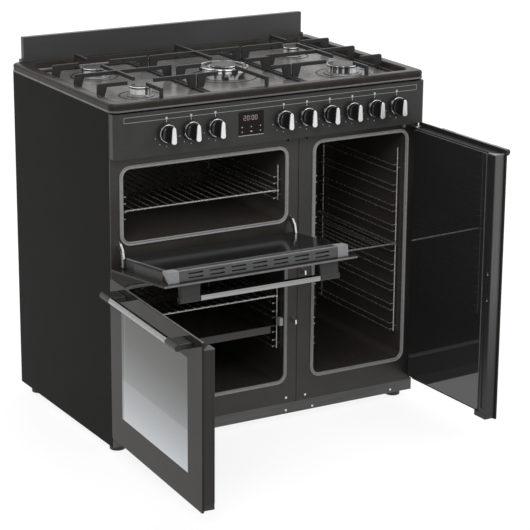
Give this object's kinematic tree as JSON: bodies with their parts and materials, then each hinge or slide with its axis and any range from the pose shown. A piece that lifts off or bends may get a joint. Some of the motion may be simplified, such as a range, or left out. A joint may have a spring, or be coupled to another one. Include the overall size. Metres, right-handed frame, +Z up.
{
  "type": "gas cooker",
  "caption": "Wide freestanding range cooker with a gas hob, pan supports, splashback, control knobs, clock, grill oven, main oven and tall oven, doors standing open.",
  "frame": {"origin": "on the floor, under the centre of the hob", "axes": "+X to the right seen from the front, +Y to the rear, +Z up"},
  "size_m": [1.0372, 1.1108, 0.966],
  "materials": {
    "black_enamel": "gloss",
    "hob_enamel": "gloss",
    "frame_enamel": "satin",
    "plinth_metal": "satin",
    "galvanised": "satin",
    "oven_enamel": "gloss",
    "seal_rubber": "matte",
    "foot_plastic": "matte",
    "clock_glass": "gloss",
    "door_glass": "gloss",
    "door_frame": "satin",
    "handle_metal": "polished",
    "wire_chrome": "polished",
    "hinge_metal": "polished",
    "burner_aluminium": "satin",
    "cap_enamel": "satin",
    "support_enamel": "satin",
    "knob_plastic": "gloss",
    "spindle_steel": "satin",
    "rail_brass": "satin",
    "switch_plastic": "matte",
    "motor_steel": "satin",
    "element_steel": "satin"
  },
  "bodies": {
    "cooker": {"side_panels": "black_enamel", "back_panel": "galvanised", "base_tray": "galvanised", "plinth": "plinth_metal", "feet": "foot_plastic", "front_frames": "frame_enamel", "hob_top": "hob_enamel", "splashback": "black_enamel", "control_panel": "black_enamel", "timer_display": "clock_glass", "top_oven_liner": "oven_enamel", "main_oven_liner": "oven_enamel", "tall_oven_liner": "oven_enamel", "oven_seals": "seal_rubber", "grill_element": "element_steel", "ladder_racks": "wire_chrome", "fan_covers": "oven_enamel", "fan_motors": "motor_steel", "burner_cups": "burner_aluminium", "burner_crowns": "burner_aluminium", "burner_caps": "cap_enamel", "gas_rail": "rail_brass", "oven_switches": "switch_plastic", "door_hardware": "hinge_metal", "grill_hinge_arms": "hinge_metal"},
    "fan_blade_main": {"fan_blade_main": "motor_steel"},
    "fan_blade_tall": {"fan_blade_tall": "motor_steel"},
    "grill_shelf": {"grill_shelf": "wire_chrome"},
    "main_shelf": {"main_shelf": "wire_chrome"},
    "main_tray": {"main_tray": "oven_enamel"},
    "tall_shelf": {"tall_shelf": "wire_chrome"},
    "pan_support_left": {"pan_support_left": "support_enamel"},
    "pan_support_centre": {"pan_support_centre": "support_enamel"},
    "pan_support_right": {"pan_support_right": "support_enamel"},
    "main_door": {"main_door_panel": "door_glass", "main_door_frame": "door_frame", "main_door_glass": "door_glass", "main_door_handle": "handle_metal"},
    "grill_door": {"grill_door_panel": "door_glass", "grill_door_frame": "door_frame", "grill_door_glass": "door_glass", "grill_door_handle": "handle_metal"},
    "tall_door": {"tall_door_panel": "door_glass", "tall_door_frame": "door_frame", "tall_door_glass": "door_glass", "tall_door_handle": "handle_metal"},
    "oven_knob_1": {"oven_knob_1": "knob_plastic"},
    "oven_knob_2": {"oven_knob_2": "knob_plastic"},
    "oven_knob_3": {"oven_knob_3": "knob_plastic"},
    "oven_knob_4": {"oven_knob_4": "knob_plastic"},
    "gas_knob_1": {"gas_knob_1": "knob_plastic"},
    "gas_knob_2": {"gas_knob_2": "knob_plastic"},
    "gas_knob_3": {"gas_knob_3": "knob_plastic"},
    "gas_knob_4": {"gas_knob_4": "knob_plastic"},
    "gas_knob_5": {"gas_knob_5": "knob_plastic"},
    "gas_spindle_1": {"gas_spindle_1": "spindle_steel"},
    "gas_spindle_2": {"gas_spindle_2": "spindle_steel"},
    "gas_spindle_3": {"gas_spindle_3": "spindle_steel"},
    "gas_spindle_4": {"gas_spindle_4": "spindle_steel"},
    "gas_spindle_5": {"gas_spindle_5": "spindle_steel"}
  },
  "joints": [
    {"name": "main_door_swing", "type": "hinge", "parent": "cooker", "child": "main_door", "pos_m": [-0.433, -0.297, 0.257], "axis": [0, 0, -1], "range_deg": [-93.4, 4]},
    {"name": "tall_door_swing", "type": "hinge", "parent": "cooker", "child": "tall_door", "pos_m": [0.433, -0.297, 0.406], "axis": [0, 0, 1], "range_deg": [-92, 5]},
    {"name": "grill_door_drop", "type": "hinge", "parent": "cooker", "child": "grill_door", "pos_m": [-0.18325, -0.305, 0.498], "axis": [1, 0, 0], "range_deg": [-83.5, 0]},
    {"name": "main_fan_spin", "type": "hinge", "parent": "cooker", "child": "fan_blade_main", "pos_m": [-0.1835, 0.136, 0.273], "axis": [0, 1, 0], "continuous": true},
    {"name": "tall_fan_spin", "type": "hinge", "parent": "cooker", "child": "fan_blade_tall", "pos_m": [0.271, 0.136, 0.509], "axis": [0, 1, 0], "continuous": true},
    {"name": "grill_shelf_pull", "type": "slide", "parent": "cooker", "child": "grill_shelf", "axis": [0, -1, 0], "range_m": [0, 0.3]},
    {"name": "main_shelf_pull", "type": "slide", "parent": "cooker", "child": "main_shelf", "axis": [0, -1, 0], "range_m": [0, 0.3]},
    {"name": "main_tray_pull", "type": "slide", "parent": "cooker", "child": "main_tray", "axis": [0, -1, 0], "range_m": [0, 0.3]},
    {"name": "tall_shelf_pull", "type": "slide", "parent": "cooker", "child": "tall_shelf", "axis": [0, -1, 0], "range_m": [0, 0.3]},
    {"name": "pan_support_left_lift", "type": "slide", "parent": "cooker", "child": "pan_support_left", "axis": [0, 0, 1], "range_m": [0, 0.06]},
    {"name": "pan_support_centre_lift", "type": "slide", "parent": "cooker", "child": "pan_support_centre", "axis": [0, 0, 1], "range_m": [0, 0.06]},
    {"name": "pan_support_right_lift", "type": "slide", "parent": "cooker", "child": "pan_support_right", "axis": [0, 0, 1], "range_m": [0, 0.06]},
    {"name": "oven_knob_1_turn", "type": "hinge", "parent": "cooker", "child": "oven_knob_1", "pos_m": [-0.305, -0.309, 0.818], "axis": [0, 1, 0], "range_deg": [0, 270]},
    {"name": "oven_knob_2_turn", "type": "hinge", "parent": "cooker", "child": "oven_knob_2", "pos_m": [-0.2378, -0.309, 0.818], "axis": [0, 1, 0], "range_deg": [0, 270]},
    {"name": "oven_knob_3_turn", "type": "hinge", "parent": "cooker", "child": "oven_knob_3", "pos_m": [-0.1706, -0.309, 0.818], "axis": [0, 1, 0], "range_deg": [0, 270]},
    {"name": "oven_knob_4_turn", "type": "hinge", "parent": "cooker", "child": "oven_knob_4", "pos_m": [0.023, -0.309, 0.818], "axis": [0, 1, 0], "range_deg": [0, 270]},
    {"name": "gas_knob_1_push", "type": "slide", "parent": "cooker", "child": "gas_spindle_1", "axis": [0, 1, 0], "range_m": [0, 0.004], "stiffness_N_per_m": 1200},
    {"name": "gas_knob_1_turn", "type": "hinge", "parent": "gas_spindle_1", "child": "gas_knob_1", "pos_m": [0.0902, -0.309, 0.818], "axis": [0, -1, 0], "range_deg": [0, 210]},
    {"name": "gas_knob_2_push", "type": "slide", "parent": "cooker", "child": "gas_spindle_2", "axis": [0, 1, 0], "range_m": [0, 0.004], "stiffness_N_per_m": 1200},
    {"name": "gas_knob_2_turn", "type": "hinge", "parent": "gas_spindle_2", "child": "gas_knob_2", "pos_m": [0.1574, -0.309, 0.818], "axis": [0, -1, 0], "range_deg": [0, 210]},
    {"name": "gas_knob_3_push", "type": "slide", "parent": "cooker", "child": "gas_spindle_3", "axis": [0, 1, 0], "range_m": [0, 0.004], "stiffness_N_per_m": 1200},
    {"name": "gas_knob_3_turn", "type": "hinge", "parent": "gas_spindle_3", "child": "gas_knob_3", "pos_m": [0.2246, -0.309, 0.818], "axis": [0, -1, 0], "range_deg": [0, 210]},
    {"name": "gas_knob_4_push", "type": "slide", "parent": "cooker", "child": "gas_spindle_4", "axis": [0, 1, 0], "range_m": [0, 0.004], "stiffness_N_per_m": 1200},
    {"name": "gas_knob_4_turn", "type": "hinge", "parent": "gas_spindle_4", "child": "gas_knob_4", "pos_m": [0.2918, -0.309, 0.818], "axis": [0, -1, 0], "range_deg": [0, 210]},
    {"name": "gas_knob_5_push", "type": "slide", "parent": "cooker", "child": "gas_spindle_5", "axis": [0, 1, 0], "range_m": [0, 0.004], "stiffness_N_per_m": 1200},
    {"name": "gas_knob_5_turn", "type": "hinge", "parent": "gas_spindle_5", "child": "gas_knob_5", "pos_m": [0.359, -0.309, 0.818], "axis": [0, -1, 0], "range_deg": [0, 210]}
  ]
}
